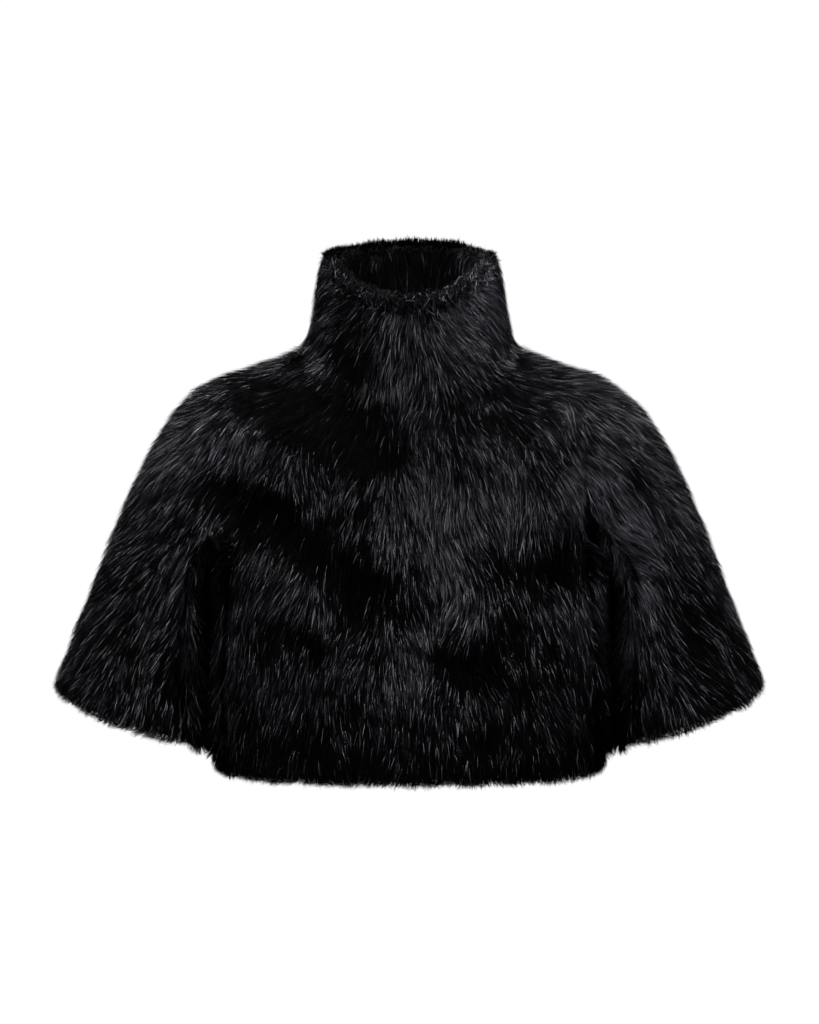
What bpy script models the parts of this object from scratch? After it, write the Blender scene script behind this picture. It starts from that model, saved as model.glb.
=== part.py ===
"""A cropped faux fur bolero with a stand collar and wide elbow sleeves, filled out as worn and hollow.

Metres, +Z up. The front faces -Y and the wearer's left is +X. The origin is the middle of the neck,
level with the points where the shoulder seams meet the collar. One outer form is worked out for the
whole garment, from rings round the body and lines down the sleeves. It is then cut into the pieces
that are sewn together, and each piece gets its wall.
"""

import math
from collections import namedtuple

import bmesh
import bpy
import numpy as np

# Walls. The outer face of a wall lies where the fur ends.
BACKING = 0.002
PILE_LOFT = 0.012
WALL = BACKING + PILE_LOFT
FACING_WALL = 0.010
COLLAR_ROLL = 0.010
SEAM_GAP = 0.0003
ROLL_STEPS = 4

# Places round the body, counted from the left side seam towards the back.
COLUMNS = 56
LEFT_SIDE = 0
RIGHT_SIDE = COLUMNS // 2
CENTRE_FRONT = 3 * COLUMNS // 4
ARMHOLE_REACH = 6  # columns from the side seam to each edge of an armhole
ARMHOLE_EASING = 12  # how often each point of an armhole is drawn half way to the middle of its neighbours
RIDGE = 1.3  # how soon a ring drops away from the shoulder line

# Rings of the outer face, from the hem up. Each has its half width and height at the sides, its depth
# and height at the middle of the front and of the back, its squareness (2 is an ellipse), and the
# rows of faces between it and the ring before.
Ring = namedtuple("Ring", "name side_x side_z front_y front_z back_y back_z squareness rows")
BODY_RINGS = (
    Ring("hem", 0.197, -0.415, 0.147, -0.413, 0.134, -0.415, 2.5, 0),
    Ring("waist", 0.1955, -0.325, 0.153, -0.305, 0.139, -0.300, 2.6, 3),
    Ring("below_arm", 0.1925, -0.250, 0.155, -0.210, 0.141, -0.195, 2.6, 3),
    Ring("underarm", 0.2015, -0.212, 0.152, -0.168, 0.140, -0.150, 2.5, 2),
    Ring("chest", 0.198, -0.122, 0.147, -0.126, 0.136, -0.104, 2.5, 3),
    Ring("shoulder", 0.196, -0.032, 0.138, -0.091, 0.128, -0.060, 2.4, 3),
    Ring("yoke", 0.152, -0.018, 0.125, -0.070, 0.116, -0.024, 2.2, 2),
    Ring("neck", 0.105, 0.002, 0.112, -0.049, 0.102, 0.008, 2.0, 2),
)
COLLAR_RINGS = (
    Ring("neck", 0.105, 0.002, 0.112, -0.049, 0.102, 0.008, 2.0, 0),
    Ring("stand", 0.097, 0.043, 0.106, -0.006, 0.092, 0.053, 2.0, 2),
    Ring("rim", 0.089, 0.088, 0.098, 0.038, 0.081, 0.098, 2.0, 2),
)

# The left sleeve's open end: an oval across the arm, its outer edge the higher.
CUFF_CENTRE = np.array((0.2765, -0.010, -0.359))
CUFF_HALF_WIDTH = 0.0825
CUFF_HALF_DEPTH = 0.096
CUFF_LIFT = math.radians(20)
CUFF_FRONT_DROP = 0.004
SLEEVE_ROWS = 9
# How strongly a line down the sleeve sets off from the armhole, by how far round from the shoulder (0) to
# the underarm (1) it starts, and how it ends.
SleeveStart = namedtuple("SleeveStart", "round_from_shoulder out down")
SLEEVE_STARTS = (
    SleeveStart(0.0, 0.205, 0.066),
    SleeveStart(0.5, 0.180, 0.080),
    SleeveStart(1.0, 0.040, 0.020),
)
SLEEVE_END_PULL = 0.270
SLEEVE_END_LEAN = math.radians(15)  # how far the sleeve's end leans out
SLEEVE_END_SPREAD = math.radians(10)  # how much more it leans at its outer edge, and less at its inner edge
SLEEVE_END_FLARE = 0.025  # how much wider the front and back still grow at the end

# The largest hollows where the cloth dips, seen from the front or from the back: each a trough between two
# places across and up, with its half width and its depth. A depth below zero is a ridge.
Fold = namedtuple("Fold", "name side from_x from_z to_x to_z half_width depth")
FOLDS = (
    Fold("right_chest_drape", "front", -0.200, -0.125, -0.045, -0.240, 0.024, 0.0065),
    Fold("right_chest_ridge", "front", -0.190, -0.185, -0.080, -0.285, 0.030, -0.0040),
    Fold("right_under_collar", "front", -0.140, -0.045, -0.050, -0.085, 0.024, 0.0060),
    Fold("left_chest_drape", "front", 0.090, -0.185, 0.195, -0.212, 0.024, 0.0060),
    Fold("left_chest_ridge", "front", 0.060, -0.130, 0.190, -0.150, 0.028, -0.0040),
    Fold("left_under_collar", "front", 0.050, -0.060, 0.130, -0.095, 0.026, 0.0040),
    Fold("left_waist_dip", "front", 0.025, -0.300, 0.080, -0.325, 0.018, 0.0045),
    Fold("right_sleeve_dip", "front", -0.240, -0.170, -0.270, -0.300, 0.022, 0.0050),
    Fold("left_sleeve_dip", "front", 0.235, -0.190, 0.285, -0.310, 0.022, 0.0050),
    Fold("back_left_drape", "back", 0.060, -0.230, 0.190, -0.150, 0.026, 0.0060),
    Fold("back_right_drape", "back", -0.080, -0.250, -0.195, -0.170, 0.024, 0.0050),
    Fold("back_middle_ridge", "back", -0.060, -0.150, 0.070, -0.175, 0.030, -0.0040),
    Fold("back_waist_dip", "back", -0.070, -0.335, 0.030, -0.320, 0.022, 0.0045),
    Fold("back_left_sleeve_dip", "back", 0.245, -0.180, 0.290, -0.300, 0.024, 0.0050),
    Fold("back_right_sleeve_dip", "back", -0.240, -0.190, -0.285, -0.310, 0.022, 0.0050),
)

FUR_COLOUR = (0.010, 0.010, 0.012, 1.0)
FUR_ROUGHNESS = 0.55
FACING_COLOUR = (0.007, 0.007, 0.009, 1.0)

BODY_ROWS = sum(ring.rows for ring in BODY_RINGS)
COLLAR_ROWS = sum(ring.rows for ring in COLLAR_RINGS)


def row_of(name):
    """The row of the body's faces that starts at the named ring."""
    total = 0
    for ring in BODY_RINGS:
        total += ring.rows
        if ring.name == name:
            return total
    raise KeyError(name)


def curve_between(knots, values, at):
    """Values read from a smooth curve through values at the knots, which never swings past them."""
    knots = np.asarray(knots, float)
    values = np.asarray(values, float)
    rises = np.diff(values, axis=0) / np.diff(knots)[:, None]
    before, after = rises[:-1], rises[1:]
    same_way = before * after > 0
    shared = np.where(same_way, 2 * before * after / np.where(same_way, before + after, 1.0), 0.0)
    slopes = np.vstack([rises[:1], shared, rises[-1:]])
    span = np.clip(np.searchsorted(knots, at, side="right") - 1, 0, len(knots) - 2)
    width = (knots[span + 1] - knots[span])[:, None]
    share = (np.asarray(at) - knots[span])[:, None] / width
    return hermite(values[span], slopes[span] * width, values[span + 1], slopes[span + 1] * width, share)


def hermite(start, start_pull, end, end_pull, share):
    """Points on cubic curves from start to end that leave and arrive along the two pulls."""
    return (
        (2 * share**3 - 3 * share**2 + 1) * start
        + (share**3 - 2 * share**2 + share) * start_pull
        + (3 * share**2 - 2 * share**3) * end
        + (share**3 - share**2) * end_pull
    )


def ring_points(sizes):
    """One ring of the outer face, from the sizes that lie between its name and its rows."""
    side_x, side_z, front_y, front_z, back_y, back_z, squareness = sizes
    turn = 2 * math.pi * np.arange(COLUMNS) / COLUMNS
    across = np.cos(turn)
    along = np.sin(turn)
    power = 2 / squareness
    behind = along > 0
    rise = np.abs(along) ** RIDGE
    return np.stack(
        [
            side_x * np.sign(across) * np.abs(across) ** power,
            np.where(behind, back_y, front_y) * np.sign(along) * np.abs(along) ** power,
            side_z + (np.where(behind, back_z, front_z) - side_z) * rise,
        ],
        axis=1,
    )


def rows_through(rings):
    """Every row of points of a stretch of rings, evenly set out between the rings."""
    knots = np.cumsum([ring.rows for ring in rings])
    sizes = [ring[1:-1] for ring in rings]
    return [ring_points(row) for row in curve_between(knots, sizes, np.arange(knots[-1] + 1))]


class Form:
    """The outer face of the whole garment: its points, and the four-sided faces of each piece."""

    def __init__(self):
        self.points = []
        self.faces = {}
        self.open_edges = set()
        self.row_before = {}
        self.twins = []

    def add(self, points):
        first = len(self.points)
        self.points.extend(np.asarray(point, float) for point in points)
        return list(range(first, len(self.points)))

    def face(self, piece, *corners):
        self.faces.setdefault(piece, []).append(corners)

    def mark_open(self, edge, before, closed=True):
        """Notes a row of points as an edge that is turned in, not sewn, and the row next to it."""
        self.row_before.update(zip(edge, before))
        for here, there in zip(edge, edge[1:] + edge[:1] if closed else edge[1:]):
            self.open_edges.add(frozenset((here, there)))


def in_armhole(row, column):
    """True where a face of the body's rings is cut away for a sleeve."""
    if not row_of("underarm") <= row < row_of("shoulder"):
        return False
    return any(
        -ARMHOLE_REACH <= ((column - side + COLUMNS // 2) % COLUMNS) - COLUMNS // 2 < ARMHOLE_REACH
        for side in (LEFT_SIDE, RIGHT_SIDE)
    )


def body_piece(column):
    if column < RIGHT_SIDE:
        return "back"
    return "front_right" if column < CENTRE_FRONT else "front_left"


def build_body(form):
    """The body's faces, from the hem to the neck. Returns its rows of point numbers."""
    rows = [form.add(points) for points in rows_through(BODY_RINGS)]
    ease_armhole(form, armhole_loop(rows, LEFT_SIDE))
    ease_armhole(form, armhole_loop(rows, RIGHT_SIDE))
    for row in range(BODY_ROWS):
        low, high = rows[row], rows[row + 1]
        for column in range(COLUMNS):
            if not in_armhole(row, column):
                after = (column + 1) % COLUMNS
                form.face(body_piece(column), low[column], low[after], high[after], high[column])
    form.mark_open(rows[0], rows[1])
    return rows


def build_collar(form, neck):
    """The collar's faces, from the neck row to the rim, begun and ended at the centre front."""
    order = [(CENTRE_FRONT + step) % COLUMNS for step in range(COLUMNS)]
    rows = []
    for points in rows_through(COLLAR_RINGS):
        row = neck if not rows else form.add(points)
        end = form.add([points[CENTRE_FRONT]])[0]
        form.twins.append((row[CENTRE_FRONT], end))
        rows.append([row[column] for column in order] + [end])
    for low, high in zip(rows, rows[1:]):
        for step in range(COLUMNS):
            form.face("collar", low[step], low[step + 1], high[step + 1], high[step])
    form.mark_open(rows[-1], rows[-2], closed=False)


def armhole_loop(rows, side):
    """Point numbers round an armhole, from the shoulder down the front, under the arm and up the back."""
    low, high = row_of("underarm"), row_of("shoulder")
    forward = -1 if side == LEFT_SIDE else 1
    near = [(side + forward * step) % COLUMNS for step in range(ARMHOLE_REACH + 1)]
    far = [(side - forward * step) % COLUMNS for step in range(ARMHOLE_REACH + 1)]
    loop = [rows[high][column] for column in near]
    loop += [rows[row][near[-1]] for row in range(high - 1, low, -1)]
    loop += [rows[low][column] for column in reversed(near)]
    loop += [rows[low][column] for column in far[1:]]
    loop += [rows[row][far[-1]] for row in range(low + 1, high)]
    loop += [rows[high][column] for column in reversed(far[1:])]
    return loop


def ease_armhole(form, loop):
    """Draws the corners of an armhole in to a smooth oval, and leaves the shoulder where it is."""
    sharp = np.array([form.points[number] for number in loop])
    eased = sharp
    for _ in range(ARMHOLE_EASING):
        eased = (eased + (np.roll(eased, 1, axis=0) + np.roll(eased, -1, axis=0)) / 2) / 2
    from_shoulder = np.minimum(np.arange(len(loop)), len(loop) - np.arange(len(loop)))
    share = np.clip(from_shoulder / ARMHOLE_REACH, 0, 1)[:, None]
    for number, point in zip(loop, sharp + share * (eased - sharp)):
        form.points[number] = point


def cuff_points(shares, mirror):
    """The sleeve's end ring, from its outer edge through the front, and how its lines arrive there."""
    turn = 2 * math.pi * shares
    outward = np.array((math.cos(CUFF_LIFT), 0.0, math.sin(CUFF_LIFT)))
    forward = np.array((0.0, -CUFF_HALF_DEPTH, -CUFF_FRONT_DROP)) / CUFF_HALF_DEPTH
    out = np.cos(turn)[:, None] * outward
    ahead = np.sin(turn)[:, None] * forward
    points = CUFF_CENTRE + CUFF_HALF_WIDTH * out + CUFF_HALF_DEPTH * ahead
    lean = SLEEVE_END_LEAN + SLEEVE_END_SPREAD * np.cos(turn)
    down_arm = np.stack([np.sin(lean), np.zeros_like(lean), -np.cos(lean)], axis=1)
    return points * mirror, (SLEEVE_END_PULL * down_arm + SLEEVE_END_FLARE * ahead) * mirror


def build_sleeve(form, rows, name, side):
    """A sleeve's faces, lofted from its armhole to its cuff along smooth lines."""
    mirror = np.array((1.0 if side == LEFT_SIDE else -1.0, 1.0, 1.0))
    loop = armhole_loop(rows, side)
    start = np.array([form.points[number] for number in loop])
    lengths = np.linalg.norm(np.roll(start, -1, axis=0) - start, axis=1)
    shares = np.concatenate([[0.0], np.cumsum(lengths)[:-1]]) / lengths.sum()
    end, end_pull = cuff_points(shares, mirror)
    from_shoulder = 1 - np.abs(1 - 2 * shares)
    keys = [key.round_from_shoulder for key in SLEEVE_STARTS]
    start_pull = np.zeros_like(start)
    start_pull[:, 0] = mirror[0] * np.interp(from_shoulder, keys, [key.out for key in SLEEVE_STARTS])
    start_pull[:, 2] = -np.interp(from_shoulder, keys, [key.down for key in SLEEVE_STARTS])
    lines = [loop]
    for row in range(1, SLEEVE_ROWS + 1):
        lines.append(form.add(hermite(start, start_pull, end, end_pull, row / SLEEVE_ROWS)))
    count = len(loop)
    for near, far in zip(lines, lines[1:]):
        for step in range(count):
            after = (step + 1) % count
            corners = (near[step], near[after], far[after], far[step])
            form.face(name, *(corners if side == LEFT_SIDE else corners[::-1]))
    form.mark_open(lines[-1], lines[-2])


def point_normals(form, points):
    """Which way is out at every point, from all the faces round it."""
    normals = np.zeros_like(points)
    for faces in form.faces.values():
        corners = np.array(faces)
        across = np.cross(
            points[corners[:, 2]] - points[corners[:, 0]], points[corners[:, 3]] - points[corners[:, 1]]
        )
        for corner in range(4):
            np.add.at(normals, corners[:, corner], across)
    for first, second in form.twins:
        normals[[first, second]] = normals[first] + normals[second]
    return normals / np.maximum(np.linalg.norm(normals, axis=1), 1e-12)[:, None]


def sink_folds(points, normals):
    """The points with every fold's trough or ridge pressed in along the normals."""
    sunk = points.copy()
    for fold in FOLDS:
        start = np.array((fold.from_x, fold.from_z))
        along = np.array((fold.to_x, fold.to_z)) - start
        places = points[:, [0, 2]] - start
        share = np.clip(places @ along / (along @ along), 0, 1)
        away = np.linalg.norm(places - share[:, None] * along, axis=1) / fold.half_width
        facing = -normals[:, 1] if fold.side == "front" else normals[:, 1]
        depth = fold.depth * np.exp(-(away**2)) * np.clip(facing * 1.5, 0, 1)
        sunk -= depth[:, None] * normals
    return sunk


def edge_ways(form, points, normals):
    """At each point of an open edge, the way out of the cloth along its surface."""
    ways = {}
    for number, before in form.row_before.items():
        way = points[number] - points[before]
        way = way - (way @ normals[number]) * normals[number]
        ways[number] = way / np.linalg.norm(way)
    return ways


def border(faces):
    """The edges of a piece that only one of its faces has, each as that face runs along it."""
    seen = {}
    for corners in faces:
        for here, there in zip(corners, corners[1:] + corners[:1]):
            seen.setdefault(frozenset((here, there)), []).append((here, there))
    return [found[0] for found in seen.values() if len(found) == 1]


def seam_shifts(points, normals, seams):
    """How far each point on a piece's seams draws back from its neighbour: half a seam gap."""
    inward = {}
    for here, there in seams:
        for number in (here, there):
            way = np.cross(normals[number], points[there] - points[here])
            inward.setdefault(number, []).append(way / np.linalg.norm(way))
    shifts = {}
    for number, ways in inward.items():
        total = sum(ways)
        shifts[number] = SEAM_GAP / 2 * total / max(1.0, total @ ways[0])
    return shifts


def roll_profile(kind):
    """The turned edge of a wall: shares of the way through the wall, and shares of the roll's height."""
    through = np.arange(1, ROLL_STEPS) / ROLL_STEPS
    if kind == "hem":
        return [((1 - math.cos(math.pi * t)) / 2, math.sin(math.pi * t)) for t in through]
    if kind == "rising":
        return [(1 - math.cos(math.pi / 2 * t), math.sin(math.pi / 2 * t)) for t in through]
    return [(math.sin(math.pi / 2 * t), math.cos(math.pi / 2 * t)) for t in through]


def wall_mesh(name, form, faces, points, normals, wall, roll, roll_height, sunk_by=0.0):
    """A closed wall on a piece's faces, flat at its seams and rolled at its open edges."""
    edges = border(faces)
    open_edges = [edge for edge in edges if frozenset(edge) in form.open_edges]
    seams = [edge for edge in edges if frozenset(edge) not in form.open_edges]
    shifts = seam_shifts(points, normals, seams)
    ways = edge_ways(form, points, normals)
    mesh = bmesh.new()
    outer, inner, rolls = {}, {}, {}
    for number in sorted({number for corners in faces for number in corners}):
        spot = points[number] + shifts.get(number, 0.0) - sunk_by * normals[number]
        through = -wall * normals[number]
        top = roll_height * ways[number] if number in ways else np.zeros(3)
        outer[number] = mesh.verts.new(spot + top * (roll == "falling"))
        inner[number] = mesh.verts.new(spot + through + top * (roll == "rising"))
        if number in ways:
            turned = [spot + share * through + height * top for share, height in roll_profile(roll)]
            rolls[number] = [outer[number], *map(mesh.verts.new, turned), inner[number]]
    for corners in faces:
        mesh.faces.new([outer[number] for number in corners])
        mesh.faces.new([inner[number] for number in corners[:1] + corners[:0:-1]])
    for here, there in open_edges:
        before, after = rolls[here], rolls[there]
        for step in range(ROLL_STEPS):
            mesh.faces.new((after[step], before[step], before[step + 1], after[step + 1]))
    for here, there in seams:
        for ring in seam_faces(outer, inner, rolls, here, there):
            mesh.faces.new(ring)
    return finished_mesh(name, mesh)


def seam_faces(outer, inner, rolls, here, there):
    """The wall's two faces at a stretch of seam, split the same way on both sides of the seam.

    Where the seam meets a rolled edge, the face on that side takes in the end of the roll.
    """
    before = rolls[here][1:-1] if here in rolls else []
    after = list(reversed(rolls[there][1:-1])) if there in rolls else []
    if here < there:
        return (
            [outer[there], outer[here], inner[there], *after],
            [outer[here], *before, inner[here], inner[there]],
        )
    return (
        [outer[there], outer[here], *before, inner[here]],
        [outer[there], inner[here], inner[there], *after],
    )


def finished_mesh(name, mesh):
    """The mesh in triangles, each face split from its first corner, so neighbouring walls lie alike."""
    bmesh.ops.triangulate(mesh, faces=mesh.faces, quad_method="FIXED")
    mesh.normal_update()
    data = bpy.data.meshes.new(name)
    mesh.to_mesh(data)
    mesh.free()
    data.shade_smooth()
    data.set_sharp_from_angle(angle=math.radians(50))
    return data


def cloth_material(name, colour, roughness):
    material = bpy.data.materials.new(name)
    material.use_nodes = True
    shader = material.node_tree.nodes["Principled BSDF"]
    shader.inputs["Base Color"].default_value = colour
    shader.inputs["Roughness"].default_value = roughness
    shader.inputs["Metallic"].default_value = 0.0
    return material


def put_in_place(name, data, material, collection, parent):
    data.materials.append(material)
    piece = bpy.data.objects.new(name, data)
    piece.parent = parent
    collection.objects.link(piece)


def main():
    for old in list(bpy.data.objects):
        bpy.data.objects.remove(old)
    collection = bpy.data.collections.new("faux_fur_bolero")
    bpy.context.scene.collection.children.link(collection)
    neck_middle = bpy.data.objects.new("neck_middle", None)
    collection.objects.link(neck_middle)

    form = Form()
    rows = build_body(form)
    build_collar(form, rows[-1])
    build_sleeve(form, rows, "sleeve_left", LEFT_SIDE)
    build_sleeve(form, rows, "sleeve_right", RIGHT_SIDE)
    plain = np.array(form.points)
    points = sink_folds(plain, point_normals(form, plain))
    normals = point_normals(form, points)

    fur = cloth_material("long_pile_faux_fur", FUR_COLOUR, FUR_ROUGHNESS)
    facing_fur = cloth_material("collar_facing_fur", FACING_COLOUR, FUR_ROUGHNESS)
    for piece in ("front_left", "front_right", "back", "sleeve_left", "sleeve_right"):
        data = wall_mesh(piece, form, form.faces[piece], points, normals, WALL, "hem", WALL / 2)
        put_in_place(piece, data, fur, collection, neck_middle)
    around = form.faces["collar"]
    data = wall_mesh("collar", form, around, points, normals, WALL, "rising", COLLAR_ROLL)
    put_in_place("collar", data, fur, collection, neck_middle)
    facing = (FACING_WALL, "falling", COLLAR_ROLL, WALL + SEAM_GAP)
    data = wall_mesh("collar_facing", form, around, points, normals, *facing)
    put_in_place("collar_facing", data, facing_fur, collection, neck_middle)


main()
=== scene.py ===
import math
from collections import namedtuple
from functools import lru_cache

import bpy
import numpy as np
from bpy.props import FloatProperty, FloatVectorProperty, IntProperty, PointerProperty
from bpy.types import Operator, Panel, PropertyGroup
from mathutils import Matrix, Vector
from mathutils.bvhtree import BVHTree
from mathutils.kdtree import KDTree


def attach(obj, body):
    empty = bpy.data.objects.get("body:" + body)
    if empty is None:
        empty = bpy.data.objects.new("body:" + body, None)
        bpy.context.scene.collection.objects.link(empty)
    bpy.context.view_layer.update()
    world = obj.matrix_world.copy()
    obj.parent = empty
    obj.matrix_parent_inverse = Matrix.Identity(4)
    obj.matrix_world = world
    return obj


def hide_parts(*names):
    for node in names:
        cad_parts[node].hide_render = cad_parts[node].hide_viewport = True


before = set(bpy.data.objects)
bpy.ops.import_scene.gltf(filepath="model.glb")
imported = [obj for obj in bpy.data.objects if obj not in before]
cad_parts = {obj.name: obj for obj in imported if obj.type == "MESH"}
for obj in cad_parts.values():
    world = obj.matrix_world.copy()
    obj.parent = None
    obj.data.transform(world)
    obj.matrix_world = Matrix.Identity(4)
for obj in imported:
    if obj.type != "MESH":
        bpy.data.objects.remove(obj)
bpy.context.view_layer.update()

bl_info = {
    "name": "Faux Fur Bolero",
    "version": (1, 0, 0),
    "blender": (4, 5, 0),
    "location": "View3D > Sidebar > Bolero",
    "description": "Sews the bolero's knitted backing, combs its fur and sets up a plain studio",
    "category": "Object",
}

# The pieces as they are cut. The two ends of the line that a piece goes round tell its outside from its
# inside, and the fur is on its outside (1) or its inside (-1). The cut is the width, length and area of
# the flat cloth, in metres. Hairs is how many hairs the piece is given.
Piece = namedtuple("Piece", "node slot line_from line_to fur_side cut_width cut_length cut_area hairs")
TRUNK = ((0.0, 0.0, -0.60), (0.0, 0.0, -0.12))
LEFT_ARM = ((0.175, 0.0, -0.12), (0.2765, -0.010, -0.36))
RIGHT_ARM = ((-0.175, 0.0, -0.12), (-0.2765, -0.010, -0.36))
NECK = ((0.0, -0.005, -0.30), (0.0, -0.005, 0.30))
FRONTS_AND_BACK = (
    Piece("front_left", "fur", *TRUNK, 1, 0.300, 0.460, 0.100, 52000),
    Piece("front_right", "fur", *TRUNK, 1, 0.300, 0.460, 0.100, 52000),
    Piece("back", "fur", *TRUNK, 1, 0.560, 0.500, 0.200, 62000),
)
SLEEVES = (
    Piece("sleeve_left", "fur", *LEFT_ARM, 1, 0.520, 0.340, 0.125, 48000),
    Piece("sleeve_right", "fur", *RIGHT_ARM, 1, 0.520, 0.340, 0.125, 48000),
)
COLLAR = (Piece("collar", "fur", *NECK, 1, 0.640, 0.110, 0.055, 36000),)
COLLAR_FACING = (Piece("collar_facing", "facing_fur", *NECK, -1, 0.560, 0.110, 0.050, 10000),)
PLAIN_SIDE = 0.5  # faces that look this much away from a piece's line, or towards it, are plainly on a side
SHARP_EDGE = math.radians(70)  # faces that meet at a sharper turn than this are on different sides
SEAM_GAP = 0.0007  # faces this near another piece are sewn to it
NECK_SEAM = -0.45  # the collar's faces that look further down than this are on its neck seam
TURNED_EDGE = 0.004  # faces this near the fur's side, or this narrow, are an edge that the fur rolls over
TOP_EDGE = 0.6  # the collar's faces that look further up than this are its top edge
EDGE_FULLNESS = 3.0  # how much denser the hairs stand on such edges
EDGE_DRAWN_BACK = 0.45  # how far the backing stays behind an edge, as a share of the fur's loft

# How the fur lies where it was parted, pressed or brushed up: a stroke between two places seen from one
# side, its half width, how much the pile stands up there (below zero it is pressed flat), and how much
# lighter its hairs are (below zero, darker). That is painted light on ridges and painted shade in hollows
# and other shaded places: more or fewer of the hairs are glossy and pale, and each hair's colour is lighter
# or darker.
Stroke = namedtuple("Stroke", "side from_x from_z to_x to_z half_width lift light")
STROKES = (
    # Hollows and places of painted shade on the front.
    Stroke("front", -0.185, -0.124, -0.023, -0.234, 0.025, -0.60, -0.42),
    Stroke("front", -0.155, -0.043, -0.030, -0.098, 0.028, -0.50, -0.42),
    Stroke("front", 0.088, -0.196, 0.165, -0.208, 0.021, -0.60, -0.42),
    Stroke("front", 0.148, -0.190, 0.166, -0.160, 0.014, -0.40, -0.36),
    Stroke("front", 0.029, -0.278, 0.072, -0.303, 0.016, -0.45, -0.34),
    Stroke("front", 0.095, -0.265, 0.118, -0.310, 0.018, -0.40, -0.26),
    Stroke("front", -0.125, -0.255, -0.080, -0.278, 0.018, -0.40, -0.28),
    Stroke("front", -0.222, -0.300, -0.226, -0.362, 0.015, -0.20, -0.12),
    Stroke("front", 0.196, -0.100, 0.216, -0.122, 0.013, -0.35, -0.34),
    Stroke("front", 0.039, -0.052, 0.150, -0.080, 0.022, -0.40, -0.21),
    Stroke("front", -0.115, -0.036, -0.042, -0.052, 0.019, -0.30, -0.36),
    Stroke("front", -0.056, 0.030, -0.050, -0.015, 0.020, -0.10, -0.30),
    Stroke("front", -0.043, -0.092, -0.038, -0.185, 0.006, -0.40, -0.34),
    Stroke("front", 0.265, -0.240, 0.305, -0.360, 0.035, -0.10, -0.22),
    Stroke("front", -0.270, -0.230, -0.300, -0.350, 0.035, -0.05, -0.08),
    Stroke("front", -0.180, -0.384, 0.180, -0.384, 0.048, 0.00, -0.26),
    # Ridges and places of painted light on the front.
    Stroke("front", -0.207, -0.205, -0.196, -0.365, 0.015, 0.00, 0.30),
    Stroke("front", 0.174, -0.118, 0.190, -0.235, 0.014, 0.40, 0.45),
    Stroke("front", -0.240, -0.108, -0.165, -0.083, 0.025, 0.22, 0.36),
    Stroke("front", -0.020, -0.130, 0.105, -0.155, 0.028, 0.22, 0.28),
    Stroke("front", -0.010, -0.035, 0.020, -0.060, 0.018, 0.10, 0.20),
    Stroke("front", 0.000, -0.265, 0.004, -0.310, 0.015, 0.30, 0.28),
    Stroke("front", 0.025, -0.190, 0.060, -0.235, 0.018, 0.24, 0.28),
    Stroke("front", 0.160, -0.050, 0.205, -0.170, 0.026, 0.20, 0.32),
    Stroke("front", 0.200, -0.170, 0.212, -0.280, 0.022, 0.40, 0.55),
    Stroke("front", 0.235, -0.100, 0.262, -0.158, 0.018, 0.22, 0.16),
    Stroke("front", 0.005, 0.022, 0.075, 0.032, 0.026, 0.15, 0.28),
    Stroke("front", -0.050, 0.058, 0.060, 0.058, 0.012, 0.00, 0.06),
    Stroke("front", 0.062, 0.055, 0.070, 0.090, 0.012, 0.00, 0.45),
    Stroke("front", -0.170, -0.290, -0.130, -0.345, 0.022, 0.12, 0.04),
    # Hollows of the back, with painted shade.
    Stroke("back", 0.060, -0.230, 0.190, -0.150, 0.024, -0.58, -0.42),
    Stroke("back", -0.080, -0.250, -0.195, -0.170, 0.023, -0.55, -0.40),
    Stroke("back", -0.100, -0.060, 0.020, -0.080, 0.022, -0.40, -0.30),
    Stroke("back", -0.070, -0.335, 0.030, -0.320, 0.018, -0.50, -0.36),
    Stroke("back", 0.245, -0.180, 0.290, -0.300, 0.020, -0.45, -0.32),
    Stroke("back", -0.240, -0.190, -0.285, -0.310, 0.020, -0.45, -0.32),
    # Ridges of the back, with painted light.
    Stroke("back", -0.060, -0.150, 0.070, -0.175, 0.026, 0.24, 0.22),
    Stroke("back", 0.100, -0.280, 0.160, -0.330, 0.024, 0.20, 0.20),
    Stroke("back", -0.180, -0.070, -0.235, -0.150, 0.026, 0.18, 0.20),
)
STROKE_FACING = (-0.15, 0.35)  # how far faces look its way where a stroke has faded out, and where it is full

# Slow, seeded changes over the cloth: how much, how far it is from one to the next, in metres, and the
# seed. The wisps of glossy hairs run along the nap, so theirs is an angle as seen from the nap's crown.
Wander = namedtuple("Wander", "amount wavelength seed")
LONG_SWIRL = Wander(0.8, 0.090, 1)
SHORT_SWIRL = Wander(0.15, 0.045, 2)
LIFT_WAVES = Wander(0.08, 0.042, 3)
GLOSS_WAVES = Wander(0.05, 0.050, 4)
STROKE_EDGES = Wander(0.3, 0.050, 5)
WISPS = Wander(1.0, 0.007, 6)
RIPPLES = 9  # waves that make up each of them
RIPPLE_RATES = (0.7, 1.4)  # the slowest and fastest of those waves

NAP_CROWN = (0.0, 0.0, 0.12)  # the fur is brushed down and away from here
COLLAR_CROWN = (0.0, 0.0, 0.10)  # the same for the collar's sides
COLLAR_SPREAD = (0.0, 0.07, 0.025)  # from there to the crown of its back, and the other way to its front's
COLLAR_TURN = 1.5  # how soon, round the neck, the crown is there
RIM_FROM = 0.45  # how far up the collar's face looks where its rim starts
RIM_OVER = 0.4  # and how much further up where it is all rim
RIM_RUFFLE = 0.2  # how far the rim's hairs point every way
LOOK_CLEAR = 0.001  # how far off the fur's face a search for other fur starts
CROWDED_WITHIN = 0.03  # fur this near other fur stands up against it
CORNER_CROWDS = 0.5  # how much of that it does where the other fur is above it, as under the collar
VALLEY_WITHIN = 0.055  # fur this near other fur is drawn out of the valley between them
VALLEY_FLUFF = 0.036  # by up to this much at its tips
VALLEY_ROOTS = 0.8  # and by this share of that at its roots
VALLEY_OVER = 0.03  # all of that is reached this far in front of the garment's middle, or behind it

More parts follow.
